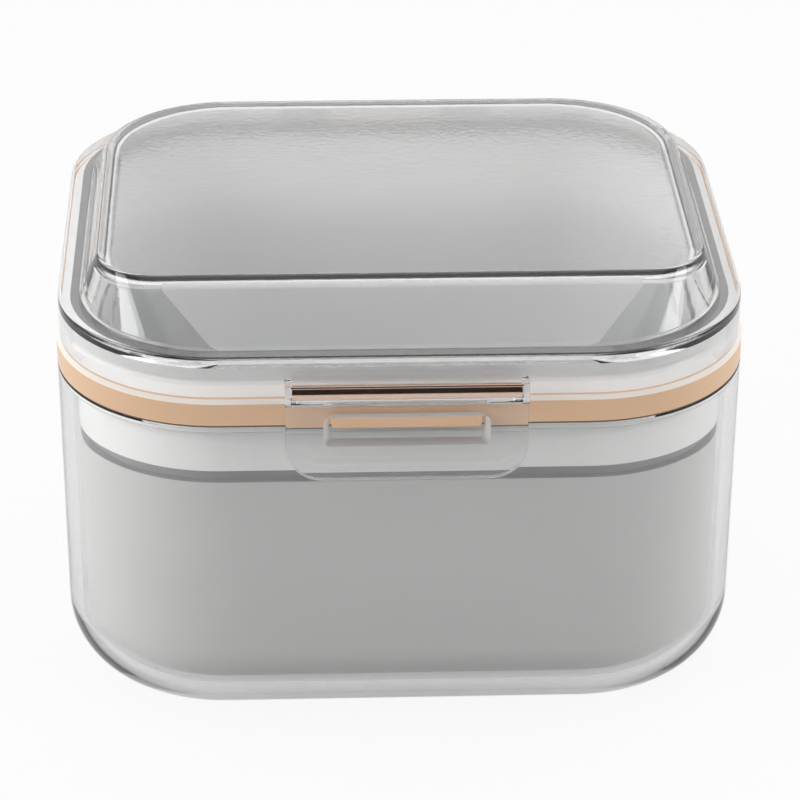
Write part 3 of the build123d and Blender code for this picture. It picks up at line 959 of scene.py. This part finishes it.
def white_sweep(tint):
    """White background paper, matt and even, which takes the case's shadow.

    It gives off part of its light where it is looked at, and a smaller part where it is seen through the
    plastic or mirrored in it, so that it stays white.
    """
    direct_share, plastic_share = 0.9, 0.3
    material, tree, _ = new_material("white_paper_sweep")
    lit = add_node(tree, "ShaderNodeBsdfDiffuse", {"Color": tint})
    white = add_node(tree, "ShaderNodeEmission", {"Color": (1, 1, 1, 1), "Strength": 1.0})
    rays = add_node(tree, "ShaderNodeLightPath").outputs
    by_plastic = add_node(
        tree, "ShaderNodeMath", {0: rays["Is Glossy Ray"], 1: rays["Is Transmission Ray"]},
        operation="MAXIMUM",
    )
    looked_at = add_node(
        tree, "ShaderNodeMath", {0: rays["Diffuse Depth"], 1: 0.5}, operation="LESS_THAN"
    )
    through = add_node(
        tree, "ShaderNodeMath", {0: by_plastic.outputs[0], 1: looked_at.outputs[0]}, operation="MULTIPLY"
    )
    dimmed = add_node(
        tree, "ShaderNodeMath", {0: through.outputs[0], 1: plastic_share}, operation="MULTIPLY"
    )
    share = add_node(
        tree, "ShaderNodeMath", {0: rays["Is Camera Ray"], 1: direct_share, 2: dimmed.outputs[0]},
        operation="MULTIPLY_ADD",
    )
    mixed = add_node(
        tree, "ShaderNodeMixShader", {"Fac": share.outputs[0], 1: lit.outputs[0], 2: white.outputs[0]}
    )
    add_node(tree, "ShaderNodeOutputMaterial", {"Surface": mixed.outputs[0]})
    return material


def make_room():
    """A room that is bright behind the case and dim in front of it, and white to the camera."""
    world = bpy.data.worlds.new("studio")
    world.use_nodes = True
    tree = world.node_tree
    tree.nodes.clear()
    direction = add_node(tree, "ShaderNodeTexCoord").outputs["Generated"]
    split = add_node(tree, "ShaderNodeSeparateXYZ", {0: direction})
    glow = add_node(
        tree, "ShaderNodeMapRange",
        {"Value": split.outputs["Y"], "From Min": -0.5, "From Max": 0.4, "To Min": 0.03, "To Max": 1.0},
    )
    room = add_node(tree, "ShaderNodeBackground", {"Color": (1, 1, 1, 1), "Strength": glow.outputs[0]})
    backdrop = add_node(tree, "ShaderNodeBackground", {"Color": (1, 1, 1, 1), "Strength": 1.0})
    seen = add_node(tree, "ShaderNodeLightPath").outputs["Is Camera Ray"]
    mixed = add_node(tree, "ShaderNodeMixShader", {"Fac": seen, 1: room.outputs[0], 2: backdrop.outputs[0]})
    add_node(tree, "ShaderNodeOutputWorld", {"Surface": mixed.outputs[0]})
    return world


def add_softboxes(scene, middle):
    """A softbox on each side of the case, the right one weaker, and a large one above it."""
    stage = scene.retainer_case_stage
    side_size, top_size, right_share = 0.4, 0.9, 0.78
    for name, place, size, power in (
        ("left_softbox", (-0.6, -0.26, 0.3), side_size, stage.side_light),
        ("right_softbox", (0.6, -0.26, 0.3), side_size, right_share * stage.side_light),
        ("top_softbox", (0.0, 0.1, 0.8), top_size, stage.top_light),
    ):
        lamp = bpy.data.lights.new(name, "AREA")
        lamp.energy, lamp.size = power, size
        softbox = bpy.data.objects.new(name, lamp)
        softbox.location = place
        softbox.rotation_euler = (middle - Vector(place)).to_track_quat("-Z", "Y").to_euler()
        scene.collection.objects.link(softbox)


def add_camera(scene, middle):
    """The camera, aimed a little to the right of the case's middle and below it."""
    stage = scene.retainer_case_stage
    azimuth, elevation = stage.azimuth, stage.elevation
    ahead = Vector((sin(azimuth) * cos(elevation), cos(azimuth) * cos(elevation), -sin(elevation)))
    right = Vector((cos(azimuth), -sin(azimuth), 0))
    up = right.cross(ahead)
    mm_right, mm_down = 0.91, 2.57
    target = middle + right * mm_right * MM - up * mm_down * MM
    view = bpy.data.cameras.new("camera")
    view.sensor_width, view.lens = 36.0, stage.lens
    view.clip_start, view.clip_end = 0.01, 20.0
    camera = bpy.data.objects.new("camera", view)
    axes = Matrix((right, up, -ahead)).transposed().to_4x4() @ Matrix.Rotation(stage.roll, 4, "Z")
    camera.matrix_world = Matrix.Translation(target - ahead * stage.distance) @ axes
    scene.collection.objects.link(camera)
    scene.camera = camera


class RETAINER_CASE_OT_stage(bpy.types.Operator):
    """Add the floor, the background, the softboxes and the camera"""

    bl_idname = "retainer_case.stage"
    bl_label = "Stage"

    def execute(self, context):
        scene = context.scene
        half_floor = 6.0
        bm = bmesh.new()
        bmesh.ops.create_grid(bm, x_segments=1, y_segments=1, size=half_floor)
        mesh = bpy.data.meshes.new("floor")
        bm.to_mesh(mesh)
        bm.free()
        floor = bpy.data.objects.new("floor", mesh)
        scene.collection.objects.link(floor)
        mesh.materials.append(white_sweep(scene.retainer_case_colours.floor))
        scene.world = make_room()
        middle = Vector((0, 0, 32 * MM))
        add_softboxes(scene, middle)
        add_camera(scene, middle)
        scene.view_settings.view_transform = "Standard"
        return {"FINISHED"}


class RETAINER_CASE_PT_sidebar(bpy.types.Panel):
    bl_idname = "RETAINER_CASE_PT_sidebar"
    bl_label = "Retainer case"
    bl_space_type = "VIEW_3D"
    bl_region_type = "UI"
    bl_category = "Retainer case"

    def draw(self, context):
        for operator in OPERATORS:
            self.layout.operator(operator.bl_idname)
        for group in ("retainer_case_sizes", "retainer_case_colours", "retainer_case_stage"):
            values = getattr(context.scene, group)
            box = self.layout.box()
            for name in values.bl_rna.properties.keys():
                if name not in ("rna_type", "name"):
                    box.prop(values, name)


GROUPS = {
    "retainer_case_sizes": RetainerCaseSizes,
    "retainer_case_colours": RetainerCaseColours,
    "retainer_case_stage": RetainerCaseStage,
}
OPERATORS = (
    RETAINER_CASE_OT_stage,
    RETAINER_CASE_OT_outer_shell,
    RETAINER_CASE_OT_inner_tub,
    RETAINER_CASE_OT_rim_ring,
    RETAINER_CASE_OT_lid,
    RETAINER_CASE_OT_seal,
    RETAINER_CASE_OT_latch,
    RETAINER_CASE_OT_basket,
    RETAINER_CASE_OT_hinge_pin,
)
CLASSES = (*GROUPS.values(), *OPERATORS, RETAINER_CASE_PT_sidebar)


def register():
    for cls in CLASSES:
        bpy.utils.register_class(cls)
    for name, group in GROUPS.items():
        setattr(bpy.types.Scene, name, bpy.props.PointerProperty(type=group))


def unregister():
    for name in GROUPS:
        delattr(bpy.types.Scene, name)
    for cls in reversed(CLASSES):
        bpy.utils.unregister_class(cls)


def main():
    register()
    for operator in OPERATORS:
        family, name = operator.bl_idname.split(".")
        getattr(getattr(bpy.ops, family), name)()


if __name__ == "__main__":
    main()
